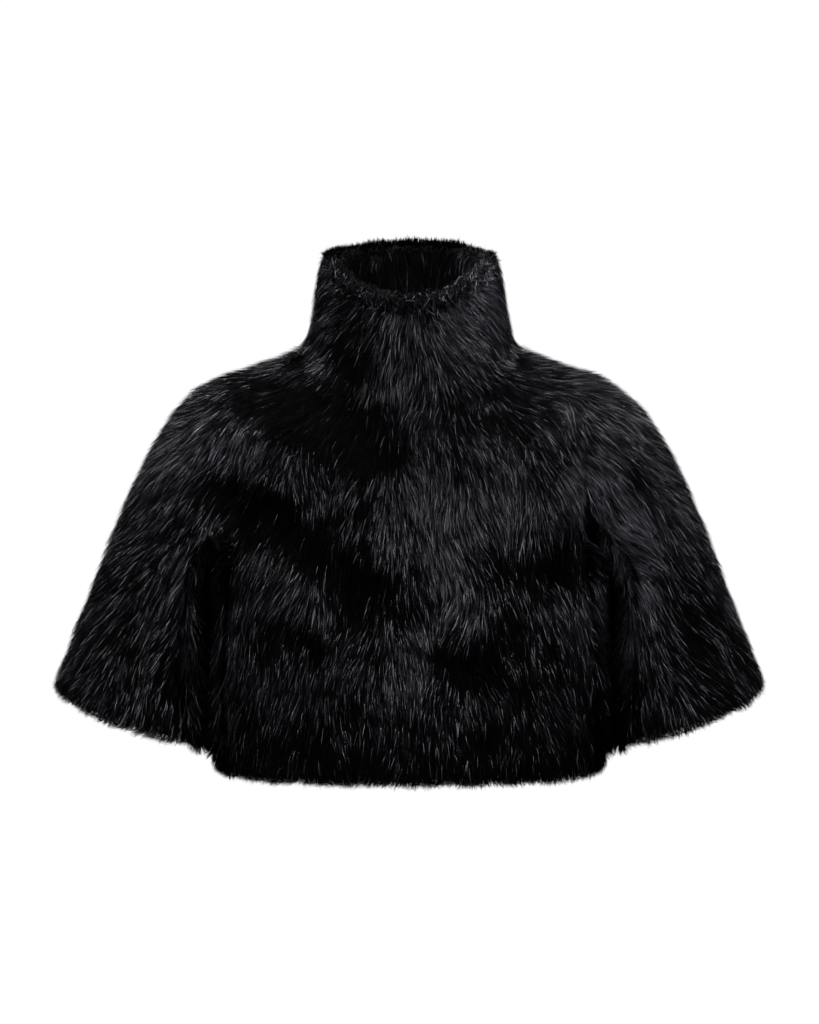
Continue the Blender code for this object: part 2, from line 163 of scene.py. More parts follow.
# Which hairs are glossy, and how light each is, from 0, the colour of its root, to 1, its own colour.
GLOSSY_LEAST = 0.02  # smallest share of glossy hairs
GLOSSY_MOST = 0.75
GLOSSY_LOCKS = 0.06  # how much the share differs from lock to lock
WISP_GLOSSY = 0.8  # how much larger it is in a wisp, and smaller between wisps
CORNER_PAINTED_SHADE = 0.15  # painted shade where other fur is above: the share is smaller there, and the hairs darker
RIM_DULLER = 0.15  # how much smaller the share is on the rim, and how much darker its hairs are
# The few light hairs stand for glints along the fur: painted highlights in their colour.
SHADE_DARK = 0.03  # most hairs are this light
SHADE_RANGE = 0.94  # the lightest are lighter by this much
SHADE_RARITY = 13  # the higher, the fewer of the light ones
SHADE_STROKES = 0.2  # how much of a stroke's painted light, or below zero its painted shade, goes into each hair's colour
SHADE_LIMITS = (0.02, 0.97)

# How far up a hair's tip comes: 0 is at the backing, and 1 where the fur ends.
LIFT = 0.88  # most hairs
LIFT_VARIES = 0.11  # from hair to hair
GUARD_LIFT = 0.12  # more for a glossy hair
WISP_LIFT = 0.1  # more in a wisp, less between wisps
CROWDED_LIFT = 0.9  # more against other fur
FLYAWAYS = 0.05  # share of hairs that stick out
FLYAWAY_LIFT = (0.1, 0.35)  # by so much more
RIM_INNER_LIFT = 0.7  # more on the inner half of the collar's rim
RIM_BACK_LIFT = 0.5  # more on the back of the rim
RIM_BACK = 0.07  # where that is, behind the middle of the neck
TOP_LIFT = 0.2  # more on the shoulders
LIFT_LEAST = 0.06
LIFT_MOST = 1.18
CROWDED_MOST = 0.6  # by how much hairs may pass that against other fur and on the rim

# The shape of a hair, from its root up to its bend and on to its tip.
LENGTHS = (0.65, 1.0)  # shortest and longest, as shares of the fur's length
UNDERFUR_LENGTH = 0.85  # how long dull hairs are next to glossy ones
RIM_SHORTER = 0.85  # how much shorter hairs are on the rim, unless they roll over it
CORNER_SHORTER = 0.6  # and where other fur is above
ROLL_FROM = 0.02  # from this far in front of the neck's middle, the rim's hairs roll over to the front
ROLL_OVER = 0.03  # all of them this much further on
PAST_EDGE = 0.008  # hairs that reach this far past a hem, cuff or rim end at it
FRINGE = 0.0035  # give or take this much
LOCK_TIP = 0.4  # how wide a lock is at its tip, next to its root
CLINGS = (0.2, 1.0)  # how much single hairs cling to their lock
EDGE_LOOSER = 0.8  # how much less they do at a hem, cuff or rim
BEND_AT = 0.32  # how far along the hair its bend is
ARCH = 0.75  # how far it bends up first, as a share of the fur's loft
ROLL_ARCH = 1.75  # more where it rolls over the rim
HAIR_WAVE = 0.0005  # how far it bends sideways
WIDTHS = (0.65, 1.15)  # narrowest and widest, as shares of the hairs' width
CROWDED_WIDER = 1.5  # how much wider dull hairs are against other fur
HAIR_TWIST = math.radians(30)  # how far ribbons turn from lying flat
GUARD_STATIONS = (0.0, 0.45, 1.0)  # how far up a hair the points of its ribbon are
UNDERFUR_STATIONS = (0.0, 0.5, 1.0)
TAPER_AT = (0.0, 0.4, 1.0)  # how far up the hair these widths are, as shares of its widest
TAPER = (0.7, 1.0, 0.45)
MAP_MARGIN = 0.02  # how far the hairs stay from the ends of their map
MAP_SWING = 0.008  # half the width of a hair's strip there

FUZZ = 0.004  # tufts of loose fibre on the backing
RIB_HEIGHT = 0.0004  # how far the backing's ribs stand out

# The soft lights: where each hangs and how wide it is, in metres, and its power in watts.
Lamp = namedtuple("Lamp", "name place size power")
LAMPS = (
    Lamp("key_softbox", (1.2, -1.7, 1.6), 0.9, 33.0),
    Lamp("left_softbox", (-1.5, -1.3, 1.5), 0.8, 20.5),
    Lamp("top_softbox", (0.0, -0.5, 1.9), 1.0, 9.0),
    Lamp("back_right_softbox", (0.9, 1.3, 2.3), 0.9, 30.0),
    Lamp("back_left_softbox", (-0.9, 1.3, 2.3), 0.9, 24.0),
)
FLOOR_WIDTH = 30.0
SWEEP_GLOW = 1.05  # how bright the camera sees the floor and backdrop, a little past white
SWEEP_FILL = 0.004  # how bright the backdrop is to the fur, nearly dark, so that the fur stays black
SENSOR = 36.0  # width of the camera's sensor, in millimetres
SEEN_TO = 60.0  # how far the camera sees


def linear(code):
    """An sRGB hex colour as linear red, green and blue."""
    channels = [int(code[place : place + 2], 16) / 255 for place in (1, 3, 5)]
    return [c / 12.92 if c <= 0.04045 else ((c + 0.055) / 1.055) ** 2.4 for c in channels]


class BoleroCloth(PropertyGroup):
    """The knitted backing that the pile is sewn into."""

    thickness: FloatProperty(
        name="Backing", description="Thickness of the backing", default=0.002, unit="LENGTH"
    )
    stitch: FloatProperty(
        name="Stitch", description="Width of a stitch of the knit", default=0.0016, unit="LENGTH"
    )
    yarn: FloatVectorProperty(
        name="Yarn", description="Colour of the backing's yarn", default=linear("#101013"), subtype="COLOR"
    )
    gap: FloatVectorProperty(
        name="Between stitches", description="Colour between the stitches", default=linear("#050506"),
        subtype="COLOR",
    )


class BoleroFur(PropertyGroup):
    """The pile and the way it lies."""

    loft: FloatProperty(
        name="Loft", description="From the backing to where the fur ends", default=0.012, unit="LENGTH"
    )
    facing_loft: FloatProperty(
        name="Loft inside the collar", description="The same for the collar's facing", default=0.008,
        unit="LENGTH",
    )
    length: FloatProperty(name="Hair length", description="Longest hairs", default=0.027, unit="LENGTH")
    guard_width: FloatProperty(
        name="Guard hair width", description="Width of a drawn glossy hair, which stands for a few",
        default=0.00031, unit="LENGTH",
    )
    underfur_width: FloatProperty(
        name="Underfur width", description="Width of a drawn dull hair, a wisp of real ones",
        default=0.00070, unit="LENGTH",
    )
    lock: FloatProperty(
        name="Lock", description="Distance between locks of hair that lean together", default=0.011,
        unit="LENGTH",
    )
    cling: FloatProperty(
        name="Cling", description="How far the hairs of a lock draw together", default=0.14,
        subtype="FACTOR",
    )
    swirl: FloatProperty(
        name="Swirl", description="How far the nap wanders", default=math.radians(12), subtype="ANGLE"
    )
    stray: FloatProperty(
        name="Stray", description="How far single hairs cross each other", default=math.radians(7),
        subtype="ANGLE",
    )
    seed: IntProperty(name="Seed", description="Start of the random scatter", default=11)
    roots: FloatVectorProperty(
        name="Roots", description="Colour deep in the pile", default=linear("#020203"), subtype="COLOR"
    )
    underfur: FloatVectorProperty(
        name="Underfur", description="Colour of the dull hairs", default=linear("#050506"), subtype="COLOR"
    )
    # Pale, so that the few light guard hairs put painted glints into the colour of the black fur.
    guard: FloatVectorProperty(
        name="Guard hairs", description="Colour of the glossy hairs", default=linear("#e8e8f8"),
        subtype="COLOR",
    )
    guard_share: FloatProperty(
        name="Guard share", description="How many of the hairs are glossy", default=0.36, subtype="FACTOR"
    )
    # Kept low, as painted shade inside the collar's hollow: few of its hairs are pale.
    facing_guard_share: FloatProperty(
        name="Guard share inside the collar", description="The same for the collar's facing", default=0.05,
        subtype="FACTOR",
    )


class BoleroStudio(PropertyGroup):
    """Where the camera and the lights stand."""

    distance: FloatProperty(
        name="Camera distance", description="From the aim to the camera", default=2.84, unit="LENGTH"
    )
    height: FloatProperty(
        name="Camera angle", description="Above the horizon", default=math.radians(4), subtype="ANGLE"
    )
    aim: FloatProperty(
        name="Aim", description="Height of the middle of the picture", default=-0.165, unit="LENGTH"
    )
    seen: FloatProperty(
        name="Seen height", description="Height of the picture at the aim", default=1.021, unit="LENGTH"
    )
    floor: FloatProperty(name="Floor", description="Height of the floor", default=-1.30, unit="LENGTH")
    sweep: FloatVectorProperty(
        name="Sweep", description="Colour of the floor and backdrop", default=linear("#fdfdfd"),
        subtype="COLOR",
    )
    paper: FloatVectorProperty(
        name="Paper", description="Colour of the floor that the fur sees", default=(0.35, 0.35, 0.35),
        subtype="COLOR",
    )
    lamps: FloatVectorProperty(
        name="Lamps", description="Colour of the soft lights", default=linear("#f9f8ff"), subtype="COLOR"
    )


def unit(ways):
    return ways / np.maximum(np.linalg.norm(ways, axis=-1, keepdims=True), 1e-12)


def in_collar(piece):
    return piece.node.startswith("collar")


def deselect_all():
    for piece in list(bpy.context.selected_objects):
        piece.select_set(False)


def node_triangles(node):
    """A CAD node's merged points and its triangles."""
    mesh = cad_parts[node].data
    points = np.empty(3 * len(mesh.vertices))
    mesh.vertices.foreach_get("co", points)
    mesh.calc_loop_triangles()
    corners = np.empty(3 * len(mesh.loop_triangles), int)
    mesh.loop_triangles.foreach_get("vertices", corners)
    merged, places = np.unique(points.reshape(-1, 3).round(6), axis=0, return_inverse=True)
    return merged, places.reshape(-1)[corners].reshape(-1, 3)


def joined_faces(triangles, normals):
    """Pairs of triangles that share an edge which isn't sharp."""
    edges = np.concatenate([triangles[:, [0, 1]], triangles[:, [1, 2]], triangles[:, [2, 0]]])
    edges = np.sort(edges, axis=1)
    owners = np.tile(np.arange(len(triangles)), 3)
    order = np.lexsort((edges[:, 1], edges[:, 0]))
    edges, owners = edges[order], owners[order]
    shared = np.flatnonzero((edges[1:] == edges[:-1]).all(axis=1))
    one, two = owners[shared], owners[shared + 1]
    soft = (normals[one] * normals[two]).sum(axis=1) > math.cos(SHARP_EDGE)
    return one[soft], two[soft]


def on_seams(piece, middles, normals):
    """True for the triangles that another piece is sewn against."""
    if in_collar(piece):
        return normals[:, 2] < NECK_SEAM
    others = BVHTree.FromPolygons(*all_triangles(skip=piece.node))
    return np.array([others.find_nearest(Vector(spot))[3] < SEAM_GAP for spot in middles])


def all_triangles(skip):
    points, triangles, total = [], [], 0
    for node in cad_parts:
        if node != skip:
            own, faces = node_triangles(node)
            points.append(own)
            triangles.append(faces + total)
            total += len(own)
    return np.concatenate(points).tolist(), np.concatenate(triangles).tolist()


@lru_cache(maxsize=None)
def walls(piece):
    """The piece's points, and the triangles of its furred side and of its bare side, without its seams.

    Faces that look plainly away from the line that the piece goes round, or towards it, are sorted
    first, and the rest go with their neighbours.
    """
    points, triangles = node_triangles(piece.node)
    corners = points[triangles]
    normals = unit(np.cross(corners[:, 1] - corners[:, 0], corners[:, 2] - corners[:, 0]))
    middles = corners.mean(axis=1)
    start = np.array(piece.line_from)
    along = np.array(piece.line_to) - start
    share = np.clip((middles - start) @ along / (along @ along), 0, 1)
    away = unit(middles - start - share[:, None] * along)
    outward = (away * normals).sum(axis=1)
    sides = np.where(np.abs(outward) > PLAIN_SIDE, np.sign(outward), 0)
    seams = on_seams(piece, middles, normals)
    one, two = joined_faces(triangles, normals)
    sewn = seams[one] | seams[two]
    one, two = one[~sewn], two[~sewn]
    sides[seams] = 0
    for _ in range(len(triangles)):
        before = sides.copy()
        for here, there in ((one, two), (two, one)):
            plain = (before[here] == 0) & (before[there] != 0)
            sides[here[plain]] = before[there[plain]]
        if (sides == before).all():
            break
    furred, bare = triangles[sides == piece.fur_side], triangles[sides == -piece.fur_side]
    ground = BVHTree.FromPolygons(points.tolist(), furred.tolist())
    turned = [ground.find_nearest(Vector(spot))[3] < TURNED_EDGE for spot in points[bare].mean(axis=1)]
    turned = np.array(turned)
    return points, np.concatenate([furred, bare[turned]]), bare[~turned]


def add_node(tree, kind, settings=(), links=()):
    """Adds a node, sets its values or its sockets' values, and links its sockets."""
    node = tree.nodes.new(kind)
    for name, value in dict(settings).items():
        if isinstance(name, int) or name in node.inputs:
            node.inputs[name].default_value = value
        else:
            setattr(node, name, value)
    for socket, source in dict(links).items():
        tree.links.new(source, node.inputs[socket])
    return node


def new_material(name):
    material = bpy.data.materials.new(name)
    material.use_nodes = True
    return material, material.node_tree, material.node_tree.nodes["Principled BSDF"]


def knitted_backing(cloth):
    """Warp knitted polyester backing: dull, with fine ribs that catch a little light inside."""
    material, tree, shader = new_material("knitted_polyester_backing")
    place = add_node(tree, "ShaderNodeTexCoord")
    # At scale 1 the Wave texture's ribs are 2 pi / 20 units wide, so this sets one rib to a stitch.
    ribs = add_node(
        tree, "ShaderNodeTexWave",
        {"Scale": 2 * math.pi / 20 / cloth.stitch, "Distortion": 1.5, "Detail": 2.0},
        {"Vector": place.outputs["Object"]},
    )
    fuzz = add_node(
        tree, "ShaderNodeTexNoise", {"Scale": 1 / FUZZ, "Detail": 4.0}, {"Vector": place.outputs["Object"]}
    )
    relief = add_node(
        tree, "ShaderNodeMath", {"operation": "MULTIPLY"}, {0: ribs.outputs["Fac"], 1: fuzz.outputs["Fac"]}
    )
    colour = add_node(
        tree, "ShaderNodeMix", {"data_type": "RGBA", 6: (*cloth.gap, 1), 7: (*cloth.yarn, 1)},
        {0: relief.outputs[0]},
    )
    bump = add_node(
        tree, "ShaderNodeBump", {"Strength": 0.5, "Distance": RIB_HEIGHT}, {"Height": relief.outputs[0]}
    )
    tree.links.new(colour.outputs[2], shader.inputs["Base Color"])
    tree.links.new(bump.outputs[0], shader.inputs["Normal"])
    shader.inputs["Roughness"].default_value = 0.85
    shader.inputs["Specular IOR Level"].default_value = 0.3
    return material


def modacrylic_hair(name, roots, hair, roughness, gloss):
    """Brushed modacrylic pile: black, with each hair darker towards its root; a few pale hairs are painted
    glints.

    Guard hairs are smooth and give a narrow glint along the hair. The underfur below them is crimped and
    dull. The hairs' own map gives each one its lightness (across) and runs from root to tip (up).
    """
    material, tree, shader = new_material(name)
    strand = add_node(tree, "ShaderNodeUVMap", {"uv_map": "hair"})
    split = add_node(tree, "ShaderNodeSeparateXYZ", links={0: strand.outputs[0]})
    # The last fifth of a hair is all its own colour.
    depth = add_node(tree, "ShaderNodeMapRange", {"From Max": 0.8}, {"Value": split.outputs["Y"]})
    share = add_node(
        tree, "ShaderNodeMath", {"operation": "MULTIPLY"}, {0: depth.outputs[0], 1: split.outputs["X"]}
    )
    colour = add_node(
        tree, "ShaderNodeMix", {"data_type": "RGBA", 6: (*roots, 1), 7: (*hair, 1)}, {0: share.outputs[0]}
    )
    tree.links.new(colour.outputs[2], shader.inputs["Base Color"])
    shader.inputs["Roughness"].default_value = roughness
    shader.inputs["IOR"].default_value = 1.5
    shader.inputs["Specular IOR Level"].default_value = gloss
    return material


def cut_backing(piece, cloth, loft, material):
    """A piece's backing: a thin shell on the side of its solid that is away from the fur.

    Its open edges are drawn back a little under the fur, which rolls over them.
    """
    points, _, bare = walls(piece)
    used, triangles = np.unique(bare[:, ::-1], return_inverse=True)
    places = points[used]
    rest, rest_out = nearest_on(fur_ground([piece]), places)
    shy = EDGE_DRAWN_BACK * np.clip(loft - np.linalg.norm(places - rest, axis=1), 0, loft)
    places = places - shy[:, None] * rest_out
    mesh = bpy.data.meshes.new(piece.node + "_backing")
    mesh.from_pydata(places.tolist(), [], triangles.reshape(-1, 3).tolist())
    mesh.shade_smooth()
    backing = bpy.data.objects.new(piece.node + "_backing", mesh)
    bpy.context.scene.collection.objects.link(backing)
    mesh.materials.append(material)
    deselect_all()
    backing.select_set(True)
    bpy.context.view_layer.objects.active = backing
    smooth = backing.modifiers.new("smooth", "SUBSURF")
    smooth.levels = smooth.render_levels = 1
    smooth.boundary_smooth = "PRESERVE_CORNERS"
    wall = backing.modifiers.new("wall", "SOLIDIFY")
    wall.thickness = cloth.thickness
    wall.offset = 1
    for modifier in ("smooth", "wall"):
        bpy.ops.object.modifier_apply(modifier=modifier)
    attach(backing, "root")
    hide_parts(piece.node)
    return backing


def ripple(points, wander):
    """A smooth, seeded change over space, from about -2 to 2 times the wander's amount."""
    rng = np.random.default_rng(wander.seed)
    rates = unit(rng.normal(size=(RIPPLES, 3))) * rng.uniform(*RIPPLE_RATES, (RIPPLES, 1))
    rates = rates * 2 * math.pi / wander.wavelength
    starts = rng.uniform(0, 2 * math.pi, RIPPLES)
    return wander.amount * (np.sin(points @ rates.T + starts).sum(axis=1) / math.sqrt(RIPPLES / 2))


def brushed(points, normals):
    """How much the strokes lift the pile, and the painted light and shade they put in its hairs, at each
    place.
    """
    lift, light = np.zeros((2, len(points)))
    edge = 1 + ripple(points, STROKE_EDGES)
    for stroke in STROKES:
        start = np.array((stroke.from_x, stroke.from_z))
        along = np.array((stroke.to_x, stroke.to_z)) - start
        places = points[:, [0, 2]] - start
        share = np.clip(places @ along / (along @ along), 0, 1)
        away = np.linalg.norm(places - share[:, None] * along, axis=1) / stroke.half_width
        facing = -normals[:, 1] if stroke.side == "front" else normals[:, 1]
        weight = np.exp(-((away * edge) ** 2)) * np.interp(facing, STROKE_FACING, (0, 1))
        lift += stroke.lift * weight
        light += stroke.light * weight
    return lift, light


def scatter(points, triangles, count, full_tops, rng):
    """Random places on the triangles, denser on narrow edges and on full tops, and which way is out there."""
    corners = points[triangles]
    across = np.cross(corners[:, 1] - corners[:, 0], corners[:, 2] - corners[:, 0])
    areas = np.linalg.norm(across, axis=1)
    longest = np.linalg.norm(corners - np.roll(corners, 1, axis=1), axis=2).max(axis=1)
    full = (areas / longest < TURNED_EDGE) | (full_tops & (across[:, 2] > TOP_EDGE * areas))
    areas = np.where(full, EDGE_FULLNESS * areas, areas)
    outward = np.zeros_like(points)
    for corner in range(3):
        np.add.at(outward, triangles[:, corner], across)
    outward = unit(outward)
    picked = np.sort(rng.choice(len(triangles), count, p=areas / areas.sum()))
    first, second = rng.random((2, count))
    over = first + second > 1
    first[over], second[over] = 1 - first[over], 1 - second[over]
    shares = np.stack([1 - first - second, first, second], axis=1)[:, :, None]
    spots = (points[triangles[picked]] * shares).sum(axis=1)
    return spots, unit((outward[triangles[picked]] * shares).sum(axis=1))


def nearest_on(ground, places):
    """The nearest points of the fur's outer face, and which way is out there."""
    found = [ground.find_nearest(Vector(place)) for place in places]
    return np.array([hit[0] for hit in found]), np.array([hit[1] for hit in found])


def crowded(spots, normals, looks, ground, within):
    """1 where another stretch of fur is close by that way, as under the arms, down to 0."""
    near = np.zeros(len(spots))
    for number, (spot, look) in enumerate(zip(spots + LOOK_CLEAR * normals, looks)):
        hit = ground.ray_cast(Vector(spot), Vector(look), within)
        if hit[0] is not None:
            near[number] = 1 - hit[3] / within
    return near


def locks_of(spots, locks, rng):
    """For each hair, the number of the hair that leads its lock."""
    leaders = rng.choice(len(spots), locks, replace=False)
    tree = KDTree(locks)
    for leader in leaders:
        tree.insert(Vector(spots[leader]), int(leader))
    tree.balance()
    return np.array([tree.find(Vector(spot))[1] for spot in spots])


def hair_mesh(name, kinds):
    """One mesh of tapered ribbons, one for each hair, with a material slot for each kind of hair.

    A kind gives how far up the hair its stations are, from root to tip, and then the places of the
    stations, and each hair's normal, half width, twist and shade.
    """
    points, loops, sizes, spreads, slots, total = [], [], [], [], [], 0
    for slot, (shares, stations, normals, half_widths, twists, shades) in enumerate(kinds):
        count, quads = stations.shape[1], len(shares) - 2
        heads = stations[1:]
        tails = stations[[0, *range(quads)]]
        along = unit(heads - tails)
        level = unit(np.cross(along, normals))
        upright = np.cross(level, along)
        side = level * np.cos(twists)[:, None] + upright * np.sin(twists)[:, None]
        taper = np.interp(shares[:-1], TAPER_AT, TAPER)[:, None, None]
        offset = side * taper * half_widths[:, None]
        verts = np.empty((count, 2 * quads + 3, 3))
        verts[:, 0:-1:2] = (stations[:-1] - offset).swapaxes(0, 1)
        verts[:, 1:-1:2] = (stations[:-1] + offset).swapaxes(0, 1)
        verts[:, -1] = stations[-1]
        pattern = [2 * quad + corner for quad in range(quads) for corner in (0, 1, 3, 2)]
        pattern = np.array(pattern + [2 * quads, 2 * quads + 1, 2 * quads + 2])
        up = MAP_MARGIN + (1 - 2 * MAP_MARGIN) * np.append(np.repeat(shares[:-1], 2), 1.0)
        swing = np.append(np.tile((-MAP_SWING, MAP_SWING), quads + 1), 0.0)
        spread = np.empty((count, len(pattern), 2), np.float32)
        spread[:, :, 0] = shades[:, None] + swing[pattern]
        spread[:, :, 1] = up[pattern]
        points.append(verts.reshape(-1, 3))
        loops.append((total + np.arange(count)[:, None] * verts.shape[1] + pattern).ravel())
        sizes.append(np.tile([4] * quads + [3], count))
        spreads.append(spread.reshape(-1, 2))
        slots.append(np.full(count * (quads + 1), slot))
        total += count * verts.shape[1]
    points, loops, sizes = np.concatenate(points), np.concatenate(loops), np.concatenate(sizes)
    mesh = bpy.data.meshes.new(name)
    mesh.vertices.add(len(points))
    mesh.vertices.foreach_set("co", points.astype(np.float32).ravel())
    mesh.loops.add(len(loops))
    mesh.loops.foreach_set("vertex_index", loops.astype(np.int32))
    mesh.polygons.add(len(sizes))
    mesh.polygons.foreach_set("loop_start", (np.cumsum(sizes) - sizes).astype(np.int32))
    mesh.polygons.foreach_set("material_index", np.concatenate(slots).astype(np.int32))
    mesh.update(calc_edges=True)
    mesh.shade_smooth()
    for layer in ("hair", "OFBake"):
        mesh.uv_layers.new(name=layer).data.foreach_set("uv", np.concatenate(spreads).ravel())
    mesh.uv_layers["hair"].active_render = True
    mesh.validate()
    fur = bpy.data.objects.new(name, mesh)
    bpy.context.scene.collection.objects.link(fur)
    return fur


# How the fur lies where each hair is: which way is out and which way it is brushed, how much the place is
# the collar's rim, a wisp of glossy hairs, crowded by other fur, below other fur or in a valley between
# two stretches of fur, how much the strokes lift the pile, and the painted light and shade in its hairs.
Lie = namedtuple("Lie", "spots normals ways rim wisp crowd corner valley lift light")


def brushing_ways(piece, spots, normals):
    """Which way the fur is brushed: away from a crown, or straight down inside the collar."""
    if piece.fur_side < 0:
        return np.tile((0.0, 0.0, -1.0), (len(spots), 1))
    if in_collar(piece):
        to_back = np.clip(COLLAR_TURN * normals[:, 1:2], -1, 1)
        return spots - (np.array(COLLAR_CROWN) + to_back * np.array(COLLAR_SPREAD))
    return spots - np.array(NAP_CROWN)


def lie_of_fur(piece, fur, ground, spots, normals, rng):
    count = len(spots)
    outside = piece.fur_side > 0
    lift, light = brushed(spots, normals)
    rim = np.clip((normals[:, 2] - RIM_FROM) / RIM_OVER, 0, 1) * in_collar(piece)
    ways = brushing_ways(piece, spots, normals)
    wisp = np.clip(ripple(unit(ways), WISPS), -1, 1) * outside
    ways = ways + RIM_RUFFLE * rim[:, None] * rng.normal(size=(count, 3))
    ways = unit(ways - (ways * normals).sum(axis=1)[:, None] * normals)
    crowd, corner, valley = np.zeros((3, count))
    if outside:
        crowd = crowded(spots, normals, normals, ground, CROWDED_WITHIN)
        corner = crowded(spots, normals, unit(normals - ways), ground, CROWDED_WITHIN) * (1 - rim)
        # Painted shade where other fur is above, as under the collar; the rim's hairs are made duller and
        # darker too.
        light = light - CORNER_PAINTED_SHADE * corner - RIM_DULLER * rim
    if not in_collar(piece):
        valley = crowded(spots, normals, normals, ground, VALLEY_WITHIN)
    turn = fur.swirl * (ripple(spots, LONG_SWIRL) + ripple(spots, SHORT_SWIRL))
    turn += rng.normal(0, fur.stray, count)
    ways = ways * np.cos(turn)[:, None] + np.cross(normals, ways) * np.sin(turn)[:, None]
    return Lie(spots, normals, ways, rim, wisp, crowd, corner, valley, lift, light)


def glossy_hairs(piece, fur, lie, lead, rng):
    """True for the hairs that are glossy guard hairs."""
    share = fur.guard_share if piece.fur_side > 0 else fur.facing_guard_share
    # A stroke's painted light, or painted shade below zero, makes more or fewer of the hairs glossy and pale.
    share = (share + lie.light) * (1 + WISP_GLOSSY * lie.wisp) + ripple(lie.spots, GLOSS_WAVES)
    share = share + rng.normal(0, GLOSSY_LOCKS, len(lead))[lead]
    return rng.random(len(lead)) < np.clip(share, GLOSSY_LEAST, GLOSSY_MOST)


def pile_lift(piece, lie, guard, rng):
    """How far up each hair's tip comes."""
    count = len(guard)
    lift = LIFT + lie.lift + ripple(lie.spots, LIFT_WAVES) + rng.normal(0, LIFT_VARIES, count)
    lift += GUARD_LIFT * guard + WISP_LIFT * lie.wisp
    lift += CROWDED_LIFT * np.maximum(lie.crowd, CORNER_CROWDS * lie.corner)
    lift += (rng.random(count) < FLYAWAYS) * rng.uniform(*FLYAWAY_LIFT, count)
    inner = -piece.fur_side * (lie.normals * unit(lie.spots * (1, 1, 0))).sum(axis=1)
    at_back = np.clip(lie.spots[:, 1] / RIM_BACK, 0, 1) ** 3
    lift += (RIM_INNER_LIFT * np.clip(inner, 0, 1) + RIM_BACK_LIFT * at_back) * lie.rim
    top = TOP_LIFT * np.clip(lie.normals[:, 2], 0, 1) * (not in_collar(piece))
    return np.clip(lift + top, LIFT_LEAST, LIFT_MOST + top + CROWDED_MOST * np.maximum(lie.crowd, lie.rim))


def shape_hairs(piece, fur, ground, lie, lead, guard, rng):
    """The root, bend and tip of each hair, combed along the nap and gathered in locks."""
    count = len(guard)
    outside = piece.fur_side > 0
    loft = fur.loft if outside else fur.facing_loft
    lift = pile_lift(piece, lie, guard, rng)
    lengths = fur.length * rng.uniform(*LENGTHS, count) * np.where(guard, 1.0, UNDERFUR_LENGTH)
    to_front = np.clip((-lie.spots[:, 1] - ROLL_FROM) / ROLL_OVER, 0, 1)
    roll = lie.rim * to_front * rng.random(count) ** 0.5 * outside
    lengths *= (1 - RIM_SHORTER * lie.rim * (1 - roll)) * (1 - CORNER_SHORTER * lie.corner)

    roots = lie.spots - loft * lie.normals
    reach = lie.spots + lengths[:, None] * lie.ways
    rest, rest_out = nearest_on(ground, reach)
    past = np.clip(np.linalg.norm(reach - rest, axis=1) / PAST_EDGE, 0, 1)
    tips = rest - (loft * (1 - lift))[:, None] * rest_out
    tips += lie.ways * (past * rng.uniform(0.0, FRINGE, count))[:, None]
    fluff = VALLEY_FLUFF * lie.valley * np.clip(lie.spots[:, 1] / VALLEY_OVER, -1, 1)
    tips[:, 1] += fluff
    roots[:, 1] += VALLEY_ROOTS * fluff
    gathered = tips[lead] + LOCK_TIP * (lie.spots - lie.spots[lead])
    cling = fur.cling * rng.uniform(*CLINGS, count) * (1 - lie.rim) * (1 - EDGE_LOOSER * past)
    tips = tips + cling[:, None] * (gathered - tips)

    rise = (ARCH + ROLL_ARCH * roll) * loft * np.minimum(lift, 1.0)
    aside = np.cross(lie.normals, lie.ways) * rng.normal(0, HAIR_WAVE, count)[:, None]
    bends = roots + BEND_AT * (tips - roots) + rise[:, None] * lie.normals + aside
    return roots, bends, tips


def comb_fur(piece, fur, ground, materials):
    """Grows a piece's hairs from its backing as one mesh, with glossy hairs and dull ones."""
    points, furred, _ = walls(piece)
    rng = np.random.default_rng([fur.seed, len(piece.node), piece.hairs, int(piece.node.endswith("left"))])
    spots, normals = scatter(points, furred, piece.hairs, in_collar(piece), rng)
    lead = locks_of(spots, int(piece.cut_area / fur.lock**2), rng)
    lie = lie_of_fur(piece, fur, ground, spots, normals, rng)
    guard = glossy_hairs(piece, fur, lie, lead, rng)
    roots, bends, tips = shape_hairs(piece, fur, ground, lie, lead, guard, rng)
    dull_widths = fur.underfur_width * (1 + CROWDED_WIDER * lie.crowd + lie.rim)
    half_widths = np.where(guard, fur.guard_width, dull_widths) / 2 * rng.uniform(*WIDTHS, piece.hairs)
    shades = SHADE_DARK + SHADE_RANGE * rng.random(piece.hairs) ** SHADE_RARITY
    # Painted light and shade, from the strokes and from the fur above, go into each hair's colour.
    shades = np.clip(shades + SHADE_STROKES * lie.light, *SHADE_LIMITS)
    twists = rng.normal(0, HAIR_TWIST, piece.hairs)
    kinds = []
    for chosen, shares in ((guard, GUARD_STATIONS), (~guard, UNDERFUR_STATIONS)):
        lower, middle, upper = roots[chosen], bends[chosen], tips[chosen]
        stations = np.array([
            (1 - share) ** 2 * lower + 2 * share * (1 - share) * middle + share**2 * upper for share in shares
        ])
        kinds.append(
            (shares, stations, normals[chosen], half_widths[chosen], twists[chosen], shades[chosen])
        )
    hairs = hair_mesh(piece.node + "_fur", kinds)
    for material in materials:
        hairs.data.materials.append(material)
    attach(hairs, "root")
    return hairs


def fur_ground(pieces):
    """One surface to lay the hairs on, of the fur's outer face over several pieces."""
    points, triangles, total = [], [], 0
    for piece in pieces:
        own, furred, _ = walls(piece)
        points.append(own)
        triangles.append(furred + total)
        total += len(own)
    return BVHTree.FromPolygons(np.concatenate(points).tolist(), np.concatenate(triangles).tolist())


class BOLERO_OT_sew_backing(Operator):
    """Cuts every piece's backing and sews it in its place"""

    bl_idname = "bolero.sew_backing"
    bl_label = "Sew the backing"

    def execute(self, context):
        cloth = context.scene.bolero_cloth
        material = knitted_backing(cloth)
        fur = context.scene.bolero_fur
        for piece in FRONTS_AND_BACK + SLEEVES + COLLAR:
            cut_backing(piece, cloth, fur.loft, material)
        for piece in COLLAR_FACING:
            cut_backing(piece, cloth, fur.facing_loft, material)
        return {"FINISHED"}


